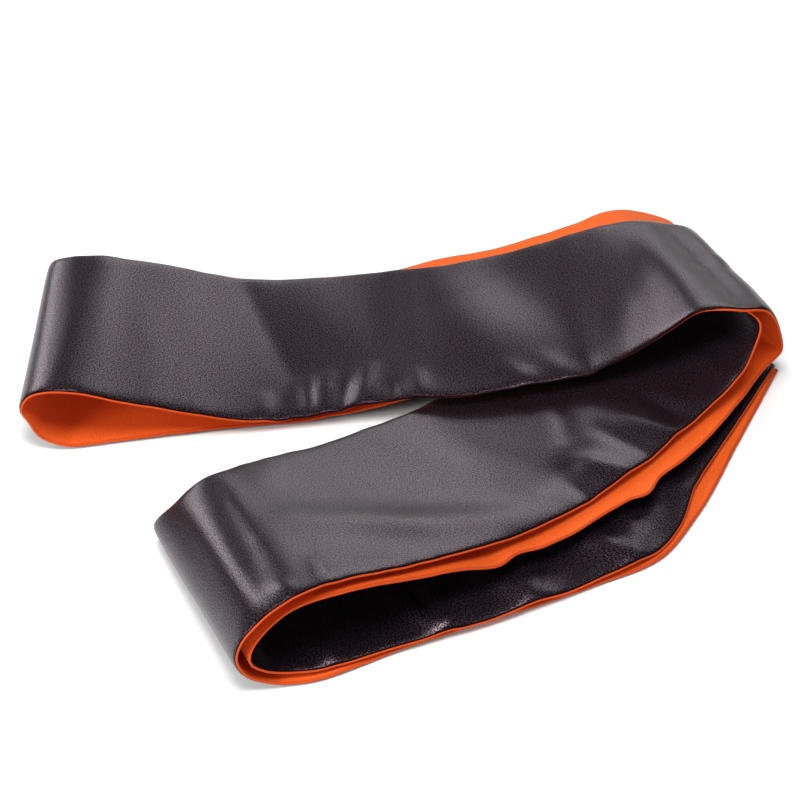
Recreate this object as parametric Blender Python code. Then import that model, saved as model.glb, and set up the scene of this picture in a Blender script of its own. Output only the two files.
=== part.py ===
"""A long satin sash, dark on its face and orange on its back, doubled and folded on a table.

The sash is one band of two strips: a dark face strip and an orange back strip, whose edge rolls
round the face as a narrow rim. The band is doubled at the end loop, with its orange sides together.
The doubled band runs right as the top arm, turns under at the right turn, comes back towards the
viewer as the middle arm, turns under at the left turn, and ends in the bottom arm on the table.
Both ends lie under the other arms. Each stretch of the band has its own face and back solid.

Lengths are millimetres until the meshes are made. X is right, Y is away from the viewer, Z is up.
"""

import math
from collections import namedtuple

import bmesh
import bpy
import numpy as np

MM = 0.001

BAND_WIDTH = 100.0
STRIP_WALL = 1.0
STRIP_GAP = 0.3
LYING_HEIGHT = STRIP_WALL + STRIP_GAP / 2
RIM_WIDTH = 0.8
RIM_SETBACK = 0.15
STRETCH_GAP = 0.3
DIVISIONS_ACROSS = 3

# The tables are laid out round the middle of the view. These put the origin under the middle
# of the sash.
ORIGIN_X = 3.4
ORIGIN_Y = -36.8

FACE_COLOUR = (0.030, 0.024, 0.030, 1.0)
BACK_COLOUR = (0.88, 0.14, 0.03, 1.0)

# A row is one straight line across the band, from its front edge to its back edge:
# the front point, the height of the back point, the turn of the line in degrees, 0 where it
# points straight away from the viewer and more where it leans left, and its length where the
# cloth gathers.
Rung = namedtuple("Rung", "x y z back_z turn width", defaults=(BAND_WIDTH,))

BOTTOM_ARM_UPPER = [
    Rung(164.5, 20, 4.2, 3.9, 64),
    Rung(143, -24.5, 4.3, 3.9, 64),
    Rung(133.5, -43.5, 4.3, 3.9, 62),
    Rung(124, -64, 4.3, 3.9, 60),
    Rung(115.5, -90.5, 4.3, 3.9, 54),
    Rung(104, -107.5, 4.3, 3.9, 46),
    Rung(81, -123, 4.2, 3.9, 38),
    Rung(40, -146, 4.1, 3.9, 31),
    Rung(0, -163.5, 4.0, 3.9, 28),
    Rung(-31, -177.5, 4.4, 3.9, 26),
]
LEFT_TURN_INNER = [
    Rung(-45, -181, 6.0, 4.3, 25),
    Rung(-53, -184, 10.0, 6.5, 24),
    Rung(-57.5, -186, 15.0, 10.0, 23),
    Rung(-57, -186, 21.0, 14.0, 23),
    Rung(-52, -183, 28.0, 18.0, 23.5),
]
MIDDLE_ARM_LOWER = [
    Rung(-39, -175, 34.0, 21.0, 25),
    Rung(-23, -166, 33.0, 20.0, 27),
    Rung(0, -152.5, 27.5, 16.0, 30),
    Rung(24, -138, 20.5, 12.0, 32),
    Rung(40, -129.5, 15.5, 9.0, 33),
    Rung(48, -120.5, 14.5, 8.4, 33.5),
    Rung(58, -115, 13.0, 7.6, 34.5),
    Rung(72, -104.5, 12.0, 6.8, 35.5),
    Rung(86, -90.5, 11.5, 6.6, 36),
    Rung(95, -83, 11.5, 6.6, 36.3),
    Rung(103, -78.5, 11.5, 6.6, 36.5),
    Rung(109, -67, 11.5, 6.6, 36.3),
    Rung(118, -58, 11.5, 6.6, 36),
    Rung(134, -36, 11.5, 6.6, 36, 99),
    Rung(146, -16, 11.5, 6.6, 35.5, 97),
    Rung(158, 6, 11.5, 7.0, 34, 92),
]
RIGHT_TURN_OUTER = [
    Rung(167.5, 18.5, 13.0, 8.5, 31.5, 84),
    Rung(165.5, 15.5, 24.0, 12.0, 25.5, 83),
    Rung(162.5, 12, 34.0, 16.0, 20.5, 84),
    Rung(157.5, 8, 42.0, 20.0, 15, 89),
]
TOP_ARM_UPPER = [
    Rung(148, 4, 46.0, 23.0, 10, 95),
    Rung(128, 2, 46.0, 25.5, 8.5),
    Rung(112, -1, 36.0, 25.5, 9),
    Rung(95, -5.5, 27.0, 23.0, 9.5),
    Rung(78, -9.5, 20.0, 20.2, 8.5),
    Rung(56, -13.5, 17.4, 16.0, 7),
    Rung(26, -18, 15.5, 12.5, 5.5),
    Rung(9, -16, 14.0, 9.5, 5),
    Rung(-9, -16, 11.5, 7.0, 5),
    Rung(-43, -20.5, 6.8, 8.0, 5.3),
    Rung(-60, -23, 6.6, 10.5, 5),
    Rung(-77, -25, 10.0, 14.0, 4),
    Rung(-94, -27, 15.0, 19.0, 3),
    Rung(-111, -29.5, 20.5, 24.0, 3.5),
    Rung(-128, -31.5, 26.0, 28.0, 3.4),
]
END_LOOP = [
    Rung(-146, -33, 30.0, 28.5, 1),
    Rung(-157, -33, 27.5, 25.5, -1),
    Rung(-161, -33, 20.5, 19.0, -2.5),
    Rung(-158, -33.5, 13.5, 11.5, -2),
    Rung(-153, -34.5, 6.0, 5.0, -1),
]
TOP_ARM_LOWER = [
    Rung(-141, -34.5, LYING_HEIGHT, LYING_HEIGHT, 2),
    Rung(-111, -28.5, LYING_HEIGHT, LYING_HEIGHT, 3.5),
    Rung(-77, -22.3, LYING_HEIGHT, LYING_HEIGHT, 4),
    Rung(-43, -17.4, LYING_HEIGHT, LYING_HEIGHT, 5.3),
    Rung(-26, -15, 3.0, 1.4, 5),
    Rung(-9, -13.5, 6.2, 3.0, 5),
    Rung(9, -11.5, 10.5, 6.0, 5),
    Rung(26, -8.5, 12.6, 9.5, 5.5),
    Rung(56, -4, 14.4, 12.6, 7),
    Rung(78, 1, 16.4, 16.6, 8),
    Rung(95, 7, 22.0, 18.8, 9),
    Rung(112, 14, 30.5, 21.2, 10.5),
    Rung(128, 17.3, 39.9, 19.2, 12, 102),
]
RIGHT_TURN_INNER = [
    Rung(145, 12.5, 40.2, 17.4, 13, 102),
    Rung(154, 5, 38.0, 15.8, 17, 103),
    Rung(151.5, -3, 30.0, 14.0, 20, 103),
    Rung(147, -11, 25.0, 11.5, 24, 102),
    Rung(140, -19, 21.0, 10.2, 29),
]
MIDDLE_ARM_UPPER = [
    Rung(126, -34, 17.5, 9.5, 35),
    Rung(100, -65.5, 16.5, 9.4, 38),
    Rung(65, -100, 17.0, 9.6, 35),
    Rung(48, -114, 19.5, 12.2, 34),
    Rung(24, -132, 25.5, 15.6, 32),
    Rung(0, -148.5, 32.0, 20.0, 30),
    Rung(-23, -163.5, 38.5, 24.0, 27),
]
LEFT_TURN_OUTER = [
    Rung(-39, -175.5, 41.5, 26.0, 25),
    Rung(-53, -185.5, 38.0, 21.5, 23),
    Rung(-62, -188.5, 27.0, 14.5, 22),
    Rung(-64, -188, 18.0, 9.0, 22),
    Rung(-60, -187, 8.5, 3.5, 23),
]
BOTTOM_ARM_LOWER = [
    Rung(-47, -184, LYING_HEIGHT, LYING_HEIGHT, 25),
    Rung(-31, -180, LYING_HEIGHT, LYING_HEIGHT, 26),
    Rung(0, -163, LYING_HEIGHT, LYING_HEIGHT, 28),
    Rung(40, -143.5, LYING_HEIGHT, LYING_HEIGHT, 31),
    Rung(81, -123, LYING_HEIGHT, LYING_HEIGHT, 38),
    Rung(107, -107, LYING_HEIGHT, LYING_HEIGHT, 46),
    Rung(125, -77.5, LYING_HEIGHT, LYING_HEIGHT, 57),
    Rung(145, -30, LYING_HEIGHT, LYING_HEIGHT, 63),
    Rung(166, 20, LYING_HEIGHT, LYING_HEIGHT, 65),
]

STRETCHES = {
    "bottom_arm_upper": BOTTOM_ARM_UPPER,
    "left_turn_inner": LEFT_TURN_INNER,
    "middle_arm_lower": MIDDLE_ARM_LOWER,
    "right_turn_outer": RIGHT_TURN_OUTER,
    "top_arm_upper": TOP_ARM_UPPER,
    "end_loop": END_LOOP,
    "top_arm_lower": TOP_ARM_LOWER,
    "right_turn_inner": RIGHT_TURN_INNER,
    "middle_arm_upper": MIDDLE_ARM_UPPER,
    "left_turn_outer": LEFT_TURN_OUTER,
    "bottom_arm_lower": BOTTOM_ARM_LOWER,
}
# A turn is stepped finely so that it reads as round; an arm needs fewer steps.
STEP_ON_ARM = 12.0
STEP_ON_TURN = 5.0


def rung_ends(rung):
    """Front and back point of a row of the tables."""
    run = math.sqrt(rung.width ** 2 - (rung.z - rung.back_z) ** 2)
    lean = math.radians(rung.turn)
    front = (rung.x, rung.y, rung.z)
    back = (rung.x - run * math.sin(lean), rung.y + run * math.cos(lean), rung.back_z)
    return np.array(front), np.array(back)


def smooth_path(points, knots, at):
    """Values at the given places on a smooth curve through the points, with no overshoot."""
    paces = np.concatenate(([0.0], np.cumsum(np.sqrt(np.diff(knots)))))
    slopes = np.gradient(points, paces, axis=0)
    span = np.clip(np.searchsorted(knots, at, side="right") - 1, 0, len(knots) - 2)
    step = (paces[span + 1] - paces[span])[:, None]
    part = ((at - knots[span]) / (knots[span + 1] - knots[span]))[:, None]
    start, end = points[span], points[span + 1]
    start_slope, end_slope = slopes[span] * step, slopes[span + 1] * step
    return (
        start * (2 * part ** 3 - 3 * part ** 2 + 1)
        + start_slope * (part ** 3 - 2 * part ** 2 + part)
        + end * (3 * part ** 2 - 2 * part ** 3)
        + end_slope * (part ** 3 - part ** 2)
    )


def edge_path(points, knots, at):
    """An edge of the band, which sinks no lower than where it lies on the table."""
    path = smooth_path(points, knots, at)
    path[:, 2] = np.maximum(path[:, 2], LYING_HEIGHT)
    return path


def band_lines():
    """Places along the whole band, and the two ends of each stretch on it."""
    rungs = [rung for rows in STRETCHES.values() for rung in rows]
    ends = [rung_ends(rung) for rung in rungs]
    fronts = np.array([front for front, back in ends])
    backs = np.array([back for front, back in ends])
    front_steps = np.linalg.norm(np.diff(fronts, axis=0), axis=1)
    back_steps = np.linalg.norm(np.diff(backs, axis=0), axis=1)
    knots = np.concatenate(([0.0], np.cumsum((front_steps + back_steps) / 2)))
    return fronts, backs, knots


def stretch_spans(knots):
    """Start and end place of each stretch, halfway between its last row and the next one's first."""
    spans = {}
    first = 0
    place = knots[0]
    for name, rows in STRETCHES.items():
        first += len(rows)
        end = knots[-1] if first == len(knots) else (knots[first - 1] + knots[first]) / 2
        spans[name] = (place, end)
        place = end
    return spans


def stretch_grid(fronts, backs, knots, span, step):
    """Evenly spaced lines across one stretch: their two ends, and which way the ends run on."""
    start, end = span
    start = start + STRETCH_GAP / 2 if start > knots[0] else start
    end = end - STRETCH_GAP / 2 if end < knots[-1] else end
    count = max(4, int(math.ceil((end - start) / step)) + 1)
    at = np.linspace(start, end, count)
    nudge = 0.05
    front = edge_path(fronts, knots, at)
    back = edge_path(backs, knots, at)
    front_along = edge_path(fronts, knots, at + nudge) - edge_path(fronts, knots, at - nudge)
    back_along = edge_path(backs, knots, at + nudge) - edge_path(backs, knots, at - nudge)
    return front, back, front_along, back_along


def ring_points(grid, index, across, height):
    """A point at a distance across the band and a height on its dark side."""
    front, back, front_along, back_along = (line[index] for line in grid)
    share = across / BAND_WIDTH
    middle = front * (1 - share) + back * share
    along = front_along * (1 - share) + back_along * share
    normal = np.cross(back - front, along)
    normal = normal / np.linalg.norm(normal)
    return middle + normal * height


def places_across(inset):
    """Distances across the band, from one inset edge to the other, with shared places between."""
    between = [BAND_WIDTH * share / DIVISIONS_ACROSS for share in range(1, DIVISIONS_ACROSS)]
    return [inset] + between + [BAND_WIDTH - inset]


def face_profile():
    """Outline of the face strip across the band: across, height."""
    places = places_across(RIM_WIDTH + STRIP_GAP)
    low = STRIP_GAP / 2
    high = low + STRIP_WALL
    return [(place, high) for place in places] + [(place, low) for place in places[::-1]]


def back_profile():
    """Outline of the back strip across the band, with its two rims round the face strip."""
    outer = places_across(0.0)
    inner = places_across(RIM_WIDTH)
    top = -STRIP_GAP / 2
    low = top - STRIP_WALL
    rim = STRIP_GAP / 2 + STRIP_WALL - RIM_SETBACK
    return (
        [(0.0, rim), (RIM_WIDTH, rim)]
        + [(place, top) for place in inner]
        + [(BAND_WIDTH - RIM_WIDTH, rim), (BAND_WIDTH, rim)]
        + [(place, low) for place in outer[::-1]]
    )


def add_material(name, colour, roughness):
    material = bpy.data.materials.new(name)
    material.use_nodes = True
    shader = material.node_tree.nodes["Principled BSDF"]
    shader.inputs["Base Color"].default_value = colour
    shader.inputs["Roughness"].default_value = roughness
    material.diffuse_color = colour
    return material


def add_solid(name, grid, profile, material):
    """A closed strip: the profile swept along the lines of the grid, with both ends capped."""
    mesh = bmesh.new()
    rings = []
    for index in range(len(grid[0])):
        ring = []
        for across, height in profile:
            point = ring_points(grid, index, across, height)
            place = ((point[0] - ORIGIN_X) * MM, (point[1] - ORIGIN_Y) * MM, point[2] * MM)
            ring.append(mesh.verts.new(place))
        rings.append(ring)
    sides = len(profile)
    for ring, following in zip(rings, rings[1:]):
        for side in range(sides):
            after = (side + 1) % sides
            near, far, far_on, near_on = ring[side], ring[after], following[after], following[side]
            # Both strips split a twisted patch along the same diagonal, so their gap stays even.
            if profile[side][0] < profile[after][0]:
                mesh.faces.new((near, far, far_on))
                mesh.faces.new((near, far_on, near_on))
            else:
                mesh.faces.new((near, far, near_on))
                mesh.faces.new((far, far_on, near_on))
    mesh.faces.new(rings[0])
    mesh.faces.new(rings[-1])
    bmesh.ops.triangulate(mesh, faces=[face for face in mesh.faces if len(face.verts) > 3])
    bmesh.ops.recalc_face_normals(mesh, faces=mesh.faces[:])
    data = bpy.data.meshes.new(name)
    mesh.to_mesh(data)
    mesh.free()
    data.materials.append(material)
    solid = bpy.data.objects.new(name, data)
    bpy.context.scene.collection.objects.link(solid)
    return solid


for old in list(bpy.data.objects):
    bpy.data.objects.remove(old)

fronts, backs, knots = band_lines()
for stretch, span in stretch_spans(knots).items():
    step = STEP_ON_TURN if "turn" in stretch or "loop" in stretch else STEP_ON_ARM
    grid = stretch_grid(fronts, backs, knots, span, step)
    face_material = add_material(f"{stretch}_face_satin", FACE_COLOUR, 0.4)
    back_material = add_material(f"{stretch}_back_satin", BACK_COLOUR, 0.45)
    add_solid(f"{stretch}_face", grid, face_profile(), face_material)
    add_solid(f"{stretch}_back", grid, back_profile(), back_material)
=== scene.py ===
# %% [markdown]
# # A satin sash, folded on a table
# The real sash is two long strips of satin, dark and orange, sewn together along both edges.
# Its seam allowances are turned in, so the orange strip rolls round the edge and shows as a
# narrow cord-like rim beside the dark face.
#
# This lesson sweeps both strips along one folded band, adds the listed soft creases, and then
# works on the satin itself: a smooth float weave with a broad gloss that runs across the band.

import math
from collections import namedtuple

import bmesh
import bpy
import numpy as np
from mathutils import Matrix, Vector, noise


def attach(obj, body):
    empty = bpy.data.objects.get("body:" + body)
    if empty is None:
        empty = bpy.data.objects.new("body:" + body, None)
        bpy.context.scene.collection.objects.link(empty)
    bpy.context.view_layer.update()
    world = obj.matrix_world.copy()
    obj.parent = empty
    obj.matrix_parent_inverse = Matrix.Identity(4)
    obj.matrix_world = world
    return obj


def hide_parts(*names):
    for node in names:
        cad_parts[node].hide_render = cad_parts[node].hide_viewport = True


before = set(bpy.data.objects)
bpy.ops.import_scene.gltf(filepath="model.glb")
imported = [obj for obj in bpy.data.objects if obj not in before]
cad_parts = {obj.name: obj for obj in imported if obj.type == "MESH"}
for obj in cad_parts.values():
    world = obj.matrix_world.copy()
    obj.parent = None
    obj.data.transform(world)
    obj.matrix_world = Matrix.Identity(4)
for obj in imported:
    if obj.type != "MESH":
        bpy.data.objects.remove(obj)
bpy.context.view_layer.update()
print("nodes in the frame:", len(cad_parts))

# %% [markdown]
# ## Colours and one helper for nodes
# Colours are read off as sRGB hex values, because that is how the eye names them.
# Blender's sockets want linear light, so one function turns them.

# %% Colour and node helpers
MM = 0.001


def linear(hex_colour):
    """Linear colour with alpha from an sRGB hex value such as '#2E252B'."""
    values = [int(hex_colour[place:place + 2], 16) / 255 for place in (1, 3, 5)]
    turned = [v / 12.92 if v <= 0.04045 else ((v + 0.055) / 1.055) ** 2.4 for v in values]
    return (*turned, 1.0)


def add_node(tree, kind, settings=None, links=None):
    """Add a node, set its properties or inputs by name, and link its inputs from other sockets."""
    node = tree.nodes.new(kind)
    for name, value in (settings or {}).items():
        if name in node.inputs:
            node.inputs[name].default_value = value
        else:
            setattr(node, name, value)
    for name, socket in (links or {}).items():
        tree.links.new(socket, node.inputs[name])
    return node


print("dark satin in linear light:", [round(value, 3) for value in linear("#2E252B")])

# %% [markdown]
# ## The path of the band
# Each row below is one straight line across the band: its front point, the height of its back
# point, and how far the line leans, in mm and degrees. A handful of rows describes each stretch,
# as a maker would note where the band lies and where it turns. A smooth curve joins them.

# %% Sizes of the band
BAND_WIDTH = 100.0
STRIP_WALL = 1.0
STRIP_GAP = 0.3
LYING_HEIGHT = STRIP_WALL + STRIP_GAP / 2
ORIGIN_X = 3.4
ORIGIN_Y = -36.8

Rung = namedtuple("Rung", "x y z back_z turn width", defaults=(BAND_WIDTH,))

# %% The rows, stretch by stretch
BOTTOM_ARM_UPPER = [
    Rung(164.5, 20, 4.2, 3.9, 64),
    Rung(143, -24.5, 4.3, 3.9, 64),
    Rung(133.5, -43.5, 4.3, 3.9, 62),
    Rung(124, -64, 4.3, 3.9, 60),
    Rung(115.5, -90.5, 4.3, 3.9, 54),
    Rung(104, -107.5, 4.3, 3.9, 46),
    Rung(81, -123, 4.2, 3.9, 38),
    Rung(40, -146, 4.1, 3.9, 31),
    Rung(0, -163.5, 4.0, 3.9, 28),
    Rung(-31, -177.5, 4.4, 3.9, 26),
]
LEFT_TURN_INNER = [
    Rung(-45, -181, 6.0, 4.3, 25),
    Rung(-53, -184, 10.0, 6.5, 24),
    Rung(-57.5, -186, 15.0, 10.0, 23),
    Rung(-57, -186, 21.0, 14.0, 23),
    Rung(-52, -183, 28.0, 18.0, 23.5),
]
MIDDLE_ARM_LOWER = [
    Rung(-39, -175, 34.0, 21.0, 25),
    Rung(-23, -166, 33.0, 20.0, 27),
    Rung(0, -152.5, 27.5, 16.0, 30),
    Rung(24, -138, 20.5, 12.0, 32),
    Rung(40, -129.5, 15.5, 9.0, 33),
    Rung(48, -120.5, 14.5, 8.4, 33.5),
    Rung(58, -115, 13.0, 7.6, 34.5),
    Rung(72, -104.5, 12.0, 6.8, 35.5),
    Rung(86, -90.5, 11.5, 6.6, 36),
    Rung(95, -83, 11.5, 6.6, 36.3),
    Rung(103, -78.5, 11.5, 6.6, 36.5),
    Rung(109, -67, 11.5, 6.6, 36.3),
    Rung(118, -58, 11.5, 6.6, 36),
    Rung(134, -36, 11.5, 6.6, 36, 99),
    Rung(146, -16, 11.5, 6.6, 35.5, 97),
    Rung(158, 6, 11.5, 7.0, 34, 92),
]
RIGHT_TURN_OUTER = [
    Rung(167.5, 18.5, 13.0, 8.5, 31.5, 84),
    Rung(165.5, 15.5, 24.0, 12.0, 25.5, 83),
    Rung(162.5, 12, 34.0, 16.0, 20.5, 84),
    Rung(157.5, 8, 42.0, 20.0, 15, 89),
]
TOP_ARM_UPPER = [
    Rung(148, 4, 46.0, 23.0, 10, 95),
    Rung(128, 2, 46.0, 25.5, 8.5),
    Rung(112, -1, 36.0, 25.5, 9),
    Rung(95, -5.5, 27.0, 23.0, 9.5),
    Rung(78, -9.5, 20.0, 20.2, 8.5),
    Rung(56, -13.5, 17.4, 16.0, 7),
    Rung(26, -18, 15.5, 12.5, 5.5),
    Rung(9, -16, 14.0, 9.5, 5),
    Rung(-9, -16, 11.5, 7.0, 5),
    Rung(-43, -20.5, 6.8, 8.0, 5.3),
    Rung(-60, -23, 6.6, 10.5, 5),
    Rung(-77, -25, 10.0, 14.0, 4),
    Rung(-94, -27, 15.0, 19.0, 3),
    Rung(-111, -29.5, 20.5, 24.0, 3.5),
    Rung(-128, -31.5, 26.0, 28.0, 3.4),
]
END_LOOP = [
    Rung(-146, -33, 30.0, 28.5, 1),
    Rung(-157, -33, 27.5, 25.5, -1),
    Rung(-161, -33, 20.5, 19.0, -2.5),
    Rung(-158, -33.5, 13.5, 11.5, -2),
    Rung(-153, -34.5, 6.0, 5.0, -1),
]
TOP_ARM_LOWER = [
    Rung(-141, -34.5, LYING_HEIGHT, LYING_HEIGHT, 2),
    Rung(-111, -28.5, LYING_HEIGHT, LYING_HEIGHT, 3.5),
    Rung(-77, -22.3, LYING_HEIGHT, LYING_HEIGHT, 4),
    Rung(-43, -17.4, LYING_HEIGHT, LYING_HEIGHT, 5.3),
    Rung(-26, -15, 3.0, 1.4, 5),
    Rung(-9, -13.5, 6.2, 3.0, 5),
    Rung(9, -11.5, 10.5, 6.0, 5),
    Rung(26, -8.5, 12.6, 9.5, 5.5),
    Rung(56, -4, 14.4, 12.6, 7),
    Rung(78, 1, 16.4, 16.6, 8),
    Rung(95, 7, 22.0, 18.8, 9),
    Rung(112, 14, 30.5, 21.2, 10.5),
    Rung(128, 17.3, 39.9, 19.2, 12, 102),
]
RIGHT_TURN_INNER = [
    Rung(145, 12.5, 40.2, 17.4, 13, 102),
    Rung(154, 5, 38.0, 15.8, 17, 103),
    Rung(151.5, -3, 30.0, 14.0, 20, 103),
    Rung(147, -11, 25.0, 11.5, 24, 102),
    Rung(140, -19, 21.0, 10.2, 29),
]
MIDDLE_ARM_UPPER = [
    Rung(126, -34, 17.5, 9.5, 35),
    Rung(100, -65.5, 16.5, 9.4, 38),
    Rung(65, -100, 17.0, 9.6, 35),
    Rung(48, -114, 19.5, 12.2, 34),
    Rung(24, -132, 25.5, 15.6, 32),
    Rung(0, -148.5, 32.0, 20.0, 30),
    Rung(-23, -163.5, 38.5, 24.0, 27),
]
LEFT_TURN_OUTER = [
    Rung(-39, -175.5, 41.5, 26.0, 25),
    Rung(-53, -185.5, 38.0, 21.5, 23),
    Rung(-62, -188.5, 27.0, 14.5, 22),
    Rung(-64, -188, 18.0, 9.0, 22),
    Rung(-60, -187, 8.5, 3.5, 23),
]
BOTTOM_ARM_LOWER = [
    Rung(-47, -184, LYING_HEIGHT, LYING_HEIGHT, 25),
    Rung(-31, -180, LYING_HEIGHT, LYING_HEIGHT, 26),
    Rung(0, -163, LYING_HEIGHT, LYING_HEIGHT, 28),
    Rung(40, -143.5, LYING_HEIGHT, LYING_HEIGHT, 31),
    Rung(81, -123, LYING_HEIGHT, LYING_HEIGHT, 38),
    Rung(107, -107, LYING_HEIGHT, LYING_HEIGHT, 46),
    Rung(125, -77.5, LYING_HEIGHT, LYING_HEIGHT, 57),
    Rung(145, -30, LYING_HEIGHT, LYING_HEIGHT, 63),
    Rung(166, 20, LYING_HEIGHT, LYING_HEIGHT, 65),
]

STRETCHES = {
    "bottom_arm_upper": BOTTOM_ARM_UPPER,
    "left_turn_inner": LEFT_TURN_INNER,
    "middle_arm_lower": MIDDLE_ARM_LOWER,
    "right_turn_outer": RIGHT_TURN_OUTER,
    "top_arm_upper": TOP_ARM_UPPER,
    "end_loop": END_LOOP,
    "top_arm_lower": TOP_ARM_LOWER,
    "right_turn_inner": RIGHT_TURN_INNER,
    "middle_arm_upper": MIDDLE_ARM_UPPER,
    "left_turn_outer": LEFT_TURN_OUTER,
    "bottom_arm_lower": BOTTOM_ARM_LOWER,
}

print("rows:", sum(len(rows) for rows in STRETCHES.values()))

# %% [markdown]
# ## From rows to a surface
# The path is a smooth curve through the rows that doesn't overshoot where a long arm meets a
# tight turn. Where the band lies on the table it stays at the height of its own thickness.

# %% Path functions
def rung_ends(rung):
    """Front and back point of a row of the tables."""
    run = math.sqrt(rung.width ** 2 - (rung.z - rung.back_z) ** 2)
    lean = math.radians(rung.turn)
    front = (rung.x, rung.y, rung.z)
    back = (rung.x - run * math.sin(lean), rung.y + run * math.cos(lean), rung.back_z)
    return np.array(front), np.array(back)


rungs = [rung for rows in STRETCHES.values() for rung in rows]
fronts = np.array([rung_ends(rung)[0] for rung in rungs])
backs = np.array([rung_ends(rung)[1] for rung in rungs])
front_steps = np.linalg.norm(np.diff(fronts, axis=0), axis=1)
back_steps = np.linalg.norm(np.diff(backs, axis=0), axis=1)
knots = np.concatenate(([0.0], np.cumsum((front_steps + back_steps) / 2)))
BAND_LENGTH = knots[-1]


def smooth_path(points, at):
    """Values at the given places on a smooth curve through the points, with no overshoot."""
    paces = np.concatenate(([0.0], np.cumsum(np.sqrt(np.diff(knots)))))
    slopes = np.gradient(points, paces, axis=0)
    span = np.clip(np.searchsorted(knots, at, side="right") - 1, 0, len(knots) - 2)
    step = (paces[span + 1] - paces[span])[:, None]
    part = ((at - knots[span]) / (knots[span + 1] - knots[span]))[:, None]
    start, end = points[span], points[span + 1]
    start_slope, end_slope = slopes[span] * step, slopes[span + 1] * step
    return (
        start * (2 * part ** 3 - 3 * part ** 2 + 1)
        + start_slope * (part ** 3 - 2 * part ** 2 + part)
        + end * (3 * part ** 2 - 2 * part ** 3)
        + end_slope * (part ** 3 - part ** 2)
    )


def edge_path(points, at):
    """An edge of the band, which sinks no lower than where it lies on the table."""
    path = smooth_path(points, at)
    path[:, 2] = np.maximum(path[:, 2], LYING_HEIGHT)
    return path


stretch_start = {}
first_row = 0
for name, rows in STRETCHES.items():
    stretch_start[name] = 0.0 if first_row == 0 else (knots[first_row - 1] + knots[first_row]) / 2
    first_row += len(rows)

print("band length in mm:", round(float(BAND_LENGTH)))

# %% [markdown]
# ## Creases
# Satin is springy, so it has few creases and they are soft: long shallow troughs across the
# arms where they were bent, puckers where a seam was pulled, and a fan of short ridges where the
# bottom arm bends in its own plane. Each row is one ridge or trough, from one point on the
# band to another: how far along its stretch and how far across from the front edge, in mm,
# its height towards the dark side (a trough is negative) and its width. A sharp one has a
# crisp line in the middle and long flanks, which is how satin breaks when it is pressed.

# %% The creases
CREASE_FIELDS = "stretch along across to_along to_across height width sharp"
Crease = namedtuple("Crease", CREASE_FIELDS, defaults=(False,))

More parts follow.
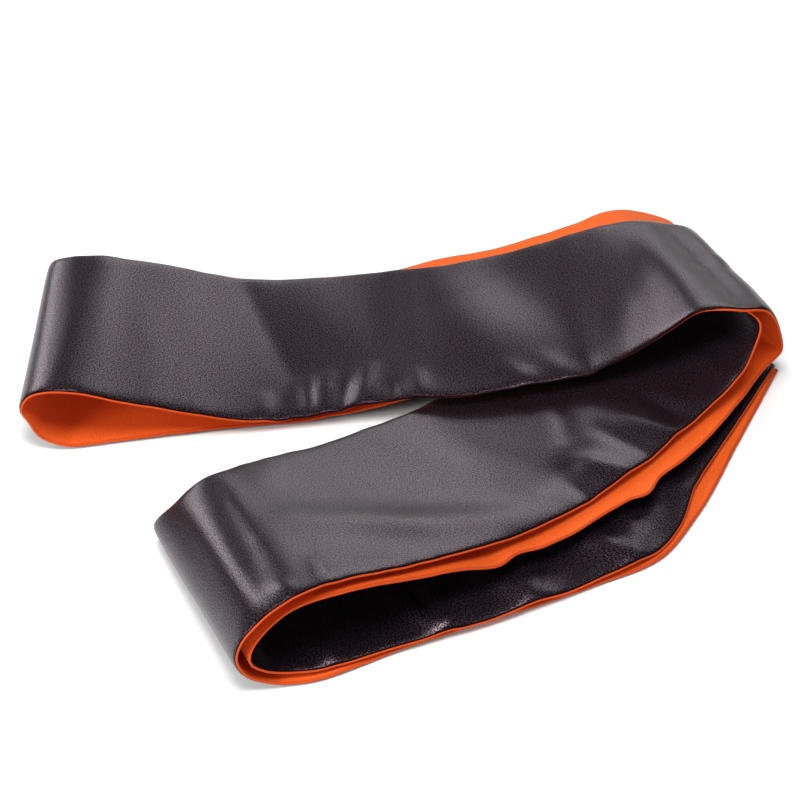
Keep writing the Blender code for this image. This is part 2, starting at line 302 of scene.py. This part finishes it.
CREASES = [
    # Top arm, dark side up: a crisp slantwise break, then a broad swell and a shallow trough.
    Crease("top_arm_upper", 221, 110, 191, 0, -2.3, 14, True),
    Crease("top_arm_upper", 124, 72, 102, 12, 3.2, 32),
    Crease("top_arm_upper", 58, 12, 50, 40, -0.7, 13),
    # The same arm by its front seam: puckers, where the thread pulls the cloth in.
    Crease("top_arm_upper", 212, 14, 214, 0, 0.9, 5),
    Crease("top_arm_upper", 197, 24, 200, 0, 1.0, 5),
    Crease("top_arm_upper", 186, 24, 189, 0, 1.4, 7),
    Crease("top_arm_upper", 178, 16, 181, 0, -0.8, 4),
    Crease("top_arm_upper", 167, 24, 172, 0, 1.3, 7),
    Crease("top_arm_upper", 158, 12, 159, 0, -0.7, 4),
    Crease("top_arm_upper", 146, 16, 146, 0, 0.9, 6),
    Crease("top_arm_upper", 106, 14, 100, 0, 0.9, 6),
    Crease("top_arm_upper", 90, 16, 84, 0, 0.7, 6),
    Crease("top_arm_upper", 76, 12, 74, 0, -0.8, 5),
    # The same arm by the right turn: a dark trough between two ridges, down to where the seam kinks.
    Crease("top_arm_upper", 20, 8, 30, 92, 1.1, 14),
    Crease("top_arm_upper", 5, 6, 11, 50, -0.8, 7),
    Crease("top_arm_upper", 11, 50, 18, 96, -0.8, 7),
    Crease("top_arm_upper", -6, 6, 1, 60, 1.8, 9),
    Crease("top_arm_upper", 1, 60, 9, 96, 1.8, 9),
    # The same arm by the end loop: a low swell, then a soft roll just inside the turn.
    Crease("top_arm_upper", 262, 10, 268, 92, 0.6, 18),
    Crease("top_arm_upper", 294, 6, 283, 90, 1.7, 14),
    # Middle arm, dark side up: a long slack ridge, and puckers that run into the front seam.
    Crease("middle_arm_upper", 202, 50, 160, 27, 1.4, 16),
    Crease("middle_arm_upper", 160, 27, 108, 6, 1.4, 16),
    Crease("middle_arm_upper", 90, 18, 72, 26, -1.6, 9),
    Crease("middle_arm_upper", 46, 66, 66, 38, -1.2, 6),
    Crease("middle_arm_upper", 72, 22, 64, 0, 1.6, 8),
    Crease("middle_arm_upper", 84, 14, 84, 0, -0.8, 5),
    Crease("middle_arm_upper", 52, 30, 48, 0, -1.0, 6),
    Crease("middle_arm_upper", 38, 22, 31, 0, 1.4, 7),
    Crease("middle_arm_upper", 24, 34, 16, 0, -1.2, 7),
    Crease("middle_arm_upper", 66, 96, 62, 66, -1.0, 6),
    Crease("middle_arm_upper", 180, 100, 200, 84, 0.8, 13),
    # Right turn, inner layer: two ridges that fan out from the front seam.
    Crease("right_turn_inner", 52, 4, 60, 40, 0.9, 7),
    Crease("right_turn_inner", 36, 8, 56, 60, 0.9, 7),
    # Left turn: a trough and a long roll that follow the turn, and two puckers at the front seam.
    Crease("left_turn_outer", 7, 94, 13, 50, -0.6, 6),
    Crease("left_turn_outer", 13, 50, 18, 16, -0.6, 6),
    Crease("left_turn_outer", 21, 92, 25, 10, 1.4, 9),
    Crease("left_turn_outer", 13, 12, 12, 3, 1.2, 5),
    Crease("middle_arm_upper", 209, 18, 213, 0, 1.0, 5),
    # Bottom arm, dark side up: fans of short ridges that meet at points of the front seam.
    Crease("bottom_arm_upper", 256, 5, 262, 24, 1.3, 6),
    Crease("bottom_arm_upper", 254, 5, 242, 28, 1.5, 6),
    Crease("bottom_arm_upper", 246, 8, 232, 14, -1.0, 5),
    Crease("bottom_arm_upper", 212, 5, 217, 28, 2.6, 7),
    Crease("bottom_arm_upper", 208, 4, 202, 32, 2.4, 5),
    Crease("bottom_arm_upper", 206, 4, 182, 34, 2.2, 5),
    Crease("bottom_arm_upper", 212, 14, 209, 26, -1.6, 5),
    Crease("bottom_arm_upper", 175, 5, 181, 36, 2.6, 9),
    Crease("bottom_arm_upper", 172, 5, 162, 30, 2.0, 6),
    Crease("bottom_arm_upper", 160, 4, 144, 16, -1.2, 8),
    Crease("bottom_arm_upper", 135, 5, 137, 32, 2.4, 8),
    Crease("bottom_arm_upper", 131, 5, 112, 34, 2.0, 7),
    Crease("bottom_arm_upper", 124, 2, 106, 8, -1.1, 5),
    Crease("bottom_arm_upper", 92, 4, 104, 34, 1.4, 6),
]
# A sharp crease is rounded over the first, in mm. Every crease keeps this share of its height
# at its two ends.
SHARP_ROUND = 2.0
END_SHARE = 0.55


def crease_heights(at, across):
    """How far the creases lift each point of the band towards its dark side, in mm."""
    total = np.zeros(np.broadcast(at, across).shape)
    for crease in CREASES:
        start = stretch_start[crease.stretch]
        near = np.array((start + crease.along, crease.across))
        run = np.array((start + crease.to_along, crease.to_across)) - near
        share = ((at - near[0]) * run[0] + (across - near[1]) * run[1]) / (run @ run)
        share = np.clip(share, 0.0, 1.0)
        away = (at - near[0] - share * run[0]) ** 2 + (across - near[1] - share * run[1]) ** 2
        height = crease.height * (END_SHARE + (1 - END_SHARE) * np.sin(np.pi * share))
        if crease.sharp:
            total += height * np.exp(-np.sqrt(away + SHARP_ROUND ** 2) / crease.width)
        else:
            total += height * np.exp(-away / (2 * (crease.width / 2) ** 2))
    return total


print("creases:", len(CREASES))

# %% [markdown]
# ## Puckers and unevenness
# A sewn edge is never quite straight: the thread pulls it in, and it ripples every centimetre
# or two. The ripples die out within a few millimetres of the seam. The flat of the cloth has a
# slow unevenness of a few tenths of a millimetre. The noise has a fixed seed.

# %% Small waves
SEAM_RIPPLE = 0.45
SEAM_REACH = 7.0
CLOTH_UNEVENNESS = 0.35
RIPPLE_STEP = 2.5

# One wave changes over its spacing in mm, and its crests slant by so many mm for each mm across.
Wave = namedtuple("Wave", "spacing seed share slant", defaults=(0.0,))
FRONT_WAVES = [Wave(9.0, 1.0, 1.0), Wave(21.0, 2.0, 0.6)]
BACK_WAVES = [Wave(10.0, 3.0, 1.0), Wave(24.0, 4.0, 0.6)]
CLOTH_WAVES = [Wave(38.0, 5.0, 1.0, 0.35), Wave(19.0, 6.0, 0.5, -0.5)]


def wandering(at, across, waves):
    """Smooth noise over the band, about -1 to 1 for a wave whose share is 1."""
    steps = np.arange(0.0, BAND_LENGTH + RIPPLE_STEP, RIPPLE_STEP)
    total = 0.0
    for wave in waves:
        values = [noise.noise(Vector((place / wave.spacing, wave.seed, 0.5))) for place in steps]
        total = total + wave.share * np.interp(at + wave.slant * across, steps, values)
    return total


def small_waves(at, across):
    """Ripples by the two seams and the slow unevenness of the cloth between them, in mm."""
    front_fade = np.exp(-across / SEAM_REACH)
    back_fade = np.exp(-(BAND_WIDTH - across) / SEAM_REACH)
    front_wave = wandering(at, across, FRONT_WAVES)
    back_wave = wandering(at, across, BACK_WAVES)
    ripple = SEAM_RIPPLE * (front_fade * front_wave + back_fade * back_wave)
    inner = np.sin(np.pi * np.clip(across / BAND_WIDTH, 0, 1)) ** 0.5
    return ripple + CLOTH_UNEVENNESS * inner * wandering(at, across, CLOTH_WAVES)


print("waves:", len(FRONT_WAVES + BACK_WAVES + CLOTH_WAVES))


# %% The middle surface of the band
def band_points(at, across):
    """Points of the creased middle surface, for a column of places along and a row across."""
    front = edge_path(fronts, at[:, 0])[:, None, :]
    back = edge_path(backs, at[:, 0])[:, None, :]
    nudge = 0.4
    front_on = edge_path(fronts, at[:, 0] + nudge) - edge_path(fronts, at[:, 0] - nudge)
    back_on = edge_path(backs, at[:, 0] + nudge) - edge_path(backs, at[:, 0] - nudge)
    share = (across / BAND_WIDTH)[..., None]
    middle = front * (1 - share) + back * share
    onward = front_on[:, None, :] * (1 - share) + back_on[:, None, :] * share
    normal = np.cross(back - front, onward)
    normal /= np.linalg.norm(normal, axis=2, keepdims=True)
    lift = crease_heights(at, across) + small_waves(at, across)
    return middle + normal * lift[..., None]


def band_surface(at, across, height):
    """Points at a height above the creased middle surface, on its dark side."""
    nudge = 0.5
    along = band_points(at + nudge, across) - band_points(at - nudge, across)
    over = band_points(at, across + nudge) - band_points(at, across - nudge)
    normal = np.cross(over, along)
    normal /= np.linalg.norm(normal, axis=2, keepdims=True)
    return band_points(at, across) + normal * height[..., None]


# %% [markdown]
# ## The two strips
# Each strip starts as Blender's own grid, one face for every 2.5 mm, and is laid along the band.
# The dark strip curls down to the seam at both edges. The orange strip wraps round each edge: that
# roll is the turned seam allowance. Between the seams the two strips stand a little apart, as
# satin does, because air stays between them. Solidify then gives both a thin wall.

# %% Strip outlines
# All in mm. The puff is how far each strip stands off the middle surface, and the seats are how
# far both lie to the dark side of it: the upper layers sink, the one on the table is lifted.
SATIN_WALL = 0.22
PUFF = 0.78
END_INSET = 0.6
UPPER_SEAT = -0.27
LYING_SEAT = 0.27
SEAT_FADE = 20.0

Outline = namedtuple("Outline", "across height")

FACE_EDGE = [
    Outline(0.34, -0.20),
    Outline(0.42, 0.04),
    Outline(0.80, 0.32),
    Outline(1.70, 0.56),
    Outline(3.40, 0.71),
    Outline(6.00, PUFF),
]
BACK_EDGE = [
    Outline(0.55, -0.12),
    Outline(0.30, -0.08),
    Outline(0.10, -0.18),
    Outline(0.00, -0.38),
    Outline(0.06, -0.58),
    Outline(0.28, -0.73),
    Outline(0.90, -PUFF),
    Outline(2.60, -PUFF),
]
PLAIN_STEP = 2.5
ALONG_STEP = 2.5
# Along the top arm the front seam rolls under between the first two places, over the fade.
ROLL_FROM = 14.0
ROLL_TO = 212.0
ROLL_FADE = 14.0
ROLL_REACH = 3.0


def full_outline(edge, flat_height):
    """The outline from the front edge to the back edge, with evenly spaced points between."""
    count = round((BAND_WIDTH - 2 * edge[-1].across) / PLAIN_STEP)
    places = np.linspace(edge[-1].across, BAND_WIDTH - edge[-1].across, count + 1)[1:-1]
    middle = [Outline(place, flat_height) for place in places]
    far_edge = [Outline(BAND_WIDTH - point.across, point.height) for point in reversed(edge)]
    return list(edge) + middle + far_edge


def seat(at):
    """How far both strips lie to the dark side of the middle surface, in mm."""
    lying = np.clip((at - stretch_start["bottom_arm_lower"]) / SEAT_FADE, 0.0, 1.0)
    return UPPER_SEAT + (LYING_SEAT - UPPER_SEAT) * lying


def rolled_under(at):
    """1 where the top arm's front seam is rolled under as the back seam is, else 0."""
    place = at - stretch_start["top_arm_upper"]
    begun = np.clip((place - ROLL_FROM) / ROLL_FADE, 0, 1)
    not_ended = np.clip((ROLL_TO - place) / ROLL_FADE, 0, 1)
    return begun * not_ended


def lay_strip(name, outline, wall_side, roll, rest_height):
    """A grid laid along the whole band on the outline, with a thin wall.

    Where a seam is rolled under, its edge moves across by the roll. No point of the grid sinks
    below the rest height.
    """
    columns = int(BAND_LENGTH / ALONG_STEP)
    mesh = bmesh.new()
    uv = mesh.loops.layers.uv.new("cloth")
    bmesh.ops.create_grid(mesh, x_segments=columns, y_segments=len(outline) - 1, size=0.5, calc_uvs=True)
    mesh.verts.ensure_lookup_table()
    raw = np.array([vert.co[:2] for vert in mesh.verts]) + 0.5
    column = np.rint(raw[:, 0] * columns).astype(int)
    row = np.rint(raw[:, 1] * (len(outline) - 1)).astype(int)
    at = np.linspace(END_INSET, BAND_LENGTH - END_INSET, columns + 1)[:, None]
    across = np.array([[point.across for point in outline]])
    height = np.array([[point.height for point in outline]]) + seat(at)
    front_roll = rolled_under(at) * np.clip(1 - across / ROLL_REACH, 0, 1)
    back_roll = np.clip(1 - (BAND_WIDTH - across) / ROLL_REACH, 0, 1)
    rolled = across + roll * (front_roll - back_roll)
    places = band_surface(at, rolled, height)
    places = (places - (ORIGIN_X, ORIGIN_Y, 0.0)) * MM
    places[..., 2] = np.maximum(places[..., 2], rest_height * MM)
    for vert, i, j in zip(mesh.verts, column, row):
        vert.co = places[i, j]
    where = {vert: (at[i, 0] * MM, across[0, j] * MM) for vert, i, j in zip(mesh.verts, column, row)}
    for face in mesh.faces:
        face.smooth = True
        for loop in face.loops:
            loop[uv].uv = where[loop.vert]
    data = bpy.data.meshes.new(name)
    mesh.to_mesh(data)
    mesh.free()
    strip = bpy.data.objects.new(name, data)
    bpy.context.scene.collection.objects.link(strip)
    wall = strip.modifiers.new("wall", "SOLIDIFY")
    wall.thickness = SATIN_WALL * MM
    wall.offset = wall_side
    return strip


# %% Lay both strips
face_strip = lay_strip(
    "dark_satin_strip", full_outline(FACE_EDGE, PUFF), wall_side=-1.0, roll=-0.25, rest_height=0.25,
)
back_strip = lay_strip(
    "orange_satin_strip", full_outline(BACK_EDGE, -PUFF), wall_side=1.0, roll=0.8, rest_height=0.28,
)
for strip in (face_strip, back_strip):
    print(strip.name, len(strip.data.polygons), "faces")

# %% [markdown]
# ## Dark satin
# Polyester satin: most of the warp floats on the surface, so it is smooth and glossy along the
# threads. The gloss is broad and soft, and seen close it breaks up into a fine grain. The
# colour is a black with a little aubergine in it.

# %% Satin material
GRAIN_SCALE = (1500.0, 1800.0, 1.0)
GRAIN_STOPS = (0.42, 0.60)
GRAIN_DEPTH = 0.0004

# Sockets of the Mix node when it mixes colours.
MIX_FACTOR = 0
MIX_FIRST = 6
MIX_SECOND = 7
MIX_RESULT = 2


def satin(name, base, painted_edge_shade, edge_width, gloss, roughness, specular, grain):
    """Satin-weave polyester: smooth floats of thread, so a soft gloss that breaks into fine grain."""
    material = bpy.data.materials.new(name)
    material.use_nodes = True
    tree = material.node_tree
    tree.nodes.clear()
    output = add_node(tree, "ShaderNodeOutputMaterial")
    shader = add_node(tree, "ShaderNodeBsdfPrincipled", {
        "Roughness": roughness, "Specular IOR Level": specular, "IOR": 1.5,
    })
    tree.links.new(shader.outputs["BSDF"], output.inputs["Surface"])
    place = add_node(tree, "ShaderNodeUVMap", {"uv_map": "cloth"})
    # The threads are 0.12 mm apart, too fine for the picture, so the grain is drawn at 0.6 mm.
    threads = add_node(tree, "ShaderNodeMapping", {"Scale": GRAIN_SCALE}, {"Vector": place.outputs["UV"]})
    grain_noise = add_node(tree, "ShaderNodeTexNoise", {"Scale": 1.0, "Detail": 1.0, "Roughness": 0.6},
                           {"Vector": threads.outputs["Vector"]})
    # Close to either seam the cloth turns down out of the light. That shade is painted in: the base
    # colour and the gloss tint darken towards each edge.
    split = add_node(tree, "ShaderNodeSeparateXYZ", {}, {"Vector": place.outputs["UV"]})
    half_width = BAND_WIDTH * MM / 2
    centred = add_node(tree, "ShaderNodeMath", {"operation": "SUBTRACT"})
    tree.links.new(split.outputs["Y"], centred.inputs[0])
    centred.inputs[1].default_value = half_width
    from_middle = add_node(tree, "ShaderNodeMath", {"operation": "ABSOLUTE"},
                           {"Value": centred.outputs["Value"]})
    edge = add_node(tree, "ShaderNodeMapRange", {
        "From Min": half_width - edge_width * MM, "From Max": half_width - edge_width * MM / 2,
    }, {"Value": from_middle.outputs["Value"]})
    tinted_sockets = (("Base Color", base, painted_edge_shade[0]), ("Specular Tint", gloss, painted_edge_shade[1]))
    for socket, tones, at_edge in tinted_sockets:
        ramp = add_node(tree, "ShaderNodeValToRGB", {}, {"Fac": grain_noise.outputs["Fac"]})
        for stop, position, tone in zip(ramp.color_ramp.elements, GRAIN_STOPS, tones):
            stop.position = position
            stop.color = linear(tone)
        shaded = add_node(tree, "ShaderNodeMix", {"data_type": "RGBA"})
        tree.links.new(edge.outputs["Result"], shaded.inputs[MIX_FACTOR])
        tree.links.new(ramp.outputs["Color"], shaded.inputs[MIX_FIRST])
        shaded.inputs[MIX_SECOND].default_value = linear(at_edge)
        tree.links.new(shaded.outputs[MIX_RESULT], shader.inputs[socket])
    bump = add_node(tree, "ShaderNodeBump", {"Strength": grain, "Distance": GRAIN_DEPTH},
                    {"Height": grain_noise.outputs["Fac"]})
    tree.links.new(bump.outputs["Normal"], shader.inputs["Normal"])
    return material


# %% Dark satin
# Painted shade along both seams of the dark face: its base colour and gloss tint darken within edge_width
# of each edge.
dark_satin = satin(
    "polyester_satin_dark",
    base=("#040203", "#2E252B"), painted_edge_shade=("#12090B", "#4A3038"), edge_width=1.3,
    gloss=("#4A3641", "#FFE6F4"), roughness=0.28, specular=0.95, grain=0.27,
)
face_strip.data.materials.append(dark_satin)

# %% [markdown]
# ## Orange satin
# The same weave, dyed orange. It is seen from its duller side, so its gloss is faint and broad,
# and what reaches the eye is the colour itself.

# %% Orange satin
# Painted shade along the orange rims as well: base colour and gloss tint darken within edge_width of each
# edge.
orange_satin = satin(
    "polyester_satin_orange",
    base=("#CC5A28", "#D8662F"), painted_edge_shade=("#B04A24", "#6A3018"), edge_width=1.2,
    gloss=("#D09A78", "#FFD0AC"), roughness=0.55, specular=0.2, grain=0.2,
)
back_strip.data.materials.append(orange_satin)
print("materials:", dark_satin.name, orange_satin.name)

# %% [markdown]
# ## What each strip stands for
# The frame has one solid for each stretch of each strip. The two long strips replace them.

for strip, side, slot in ((face_strip, "face", "dark_satin"), (back_strip, "back", "bright_satin")):
    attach(strip, "root")
    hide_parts(*[f"{name}_{side}" for name in STRETCHES])

# %% [markdown]
# ## Table, light and camera
# The sash lies on a plain white table under soft studio light. The camera looks down at 38
# degrees from 1.5 m with a long lens, as in the photo.

# %% Floor
# Matt white paint gives the eye no gloss, only a plain ground that takes soft shadows.
FLOOR_SIZE = 6.0
floor_mesh = bmesh.new()
bmesh.ops.create_grid(floor_mesh, x_segments=1, y_segments=1, size=FLOOR_SIZE / 2)
floor_data = bpy.data.meshes.new("table_top")
floor_mesh.to_mesh(floor_data)
floor_mesh.free()
floor = bpy.data.objects.new("table_top", floor_data)
bpy.context.scene.collection.objects.link(floor)
floor_paint = bpy.data.materials.new("matt_white_paint")
floor_paint.use_nodes = True
floor_shader = floor_paint.node_tree.nodes["Principled BSDF"]
floor_shader.inputs["Base Color"].default_value = linear("#E8E8E8")
floor_shader.inputs["Roughness"].default_value = 0.9
floor_data.materials.append(floor_paint)
print("table top in metres:", FLOOR_SIZE)

# %% [markdown]
# ## The light
# Satin shows its form through gloss, so each softbox is placed where one part of the sash mirrors
# it to the camera. Three stand behind and light the turns and slopes. One hangs above the arms,
# and two low ones in front bring out the orange rims and open the hollows a little.

# %% Lights
def soft_light(name, place, size, power):
    """A white softbox, place and size in metres and power in watts, turned to the origin."""
    light = bpy.data.lights.new(name, "AREA")
    light.shape = "RECTANGLE"
    light.size, light.size_y = size
    light.energy = power
    lamp = bpy.data.objects.new(name, light)
    bpy.context.scene.collection.objects.link(lamp)
    lamp.location = place
    lamp.rotation_euler = (-Vector(place)).to_track_quat("-Z", "Y").to_euler()


soft_light("back_softbox", (0.14, 1.36, 0.56), (0.5, 0.3), 1.7)
soft_light("right_softbox", (0.56, 1.26, 0.74), (0.4, 0.4), 1.4)
soft_light("left_softbox", (-0.90, 1.19, 0.68), (0.72, 0.4), 5.6)
soft_light("top_softbox", (0.0, -0.35, 1.7), (0.9, 0.9), 25.0)
soft_light("key_softbox", (-1.3, -0.75, 0.6), (0.5, 0.4), 16.0)
soft_light("front_fill", (0.1, -1.7, 0.45), (0.9, 0.5), 15.0)

world = bpy.data.worlds.new("studio_white")
bpy.context.scene.world = world
world.use_nodes = True
sky = world.node_tree.nodes["Background"]
sky.inputs["Color"].default_value = linear("#FFFFFF")
sky.inputs["Strength"].default_value = 0.2
print("lights:", [lamp.name for lamp in bpy.data.lights])

# %% Camera
VIEW_DOWN = math.radians(38)
VIEW_DISTANCE = 1.5
LENS = 155.25
aim = Vector((-ORIGIN_X * MM, -ORIGIN_Y * MM, 0.0))
camera_data = bpy.data.cameras.new("studio_camera")
camera_data.lens = LENS
camera_data.sensor_width = 36.0
camera = bpy.data.objects.new("studio_camera", camera_data)
bpy.context.scene.collection.objects.link(camera)
camera.location = aim + VIEW_DISTANCE * Vector((0.0, -math.cos(VIEW_DOWN), math.sin(VIEW_DOWN)))
camera.rotation_euler = (math.radians(90) - VIEW_DOWN, 0.0, 0.0)
bpy.context.scene.camera = camera
bpy.context.scene.view_settings.view_transform = "Standard"
bpy.context.scene.view_settings.look = "Medium High Contrast"
print("camera at:", [round(value, 3) for value in camera.location])
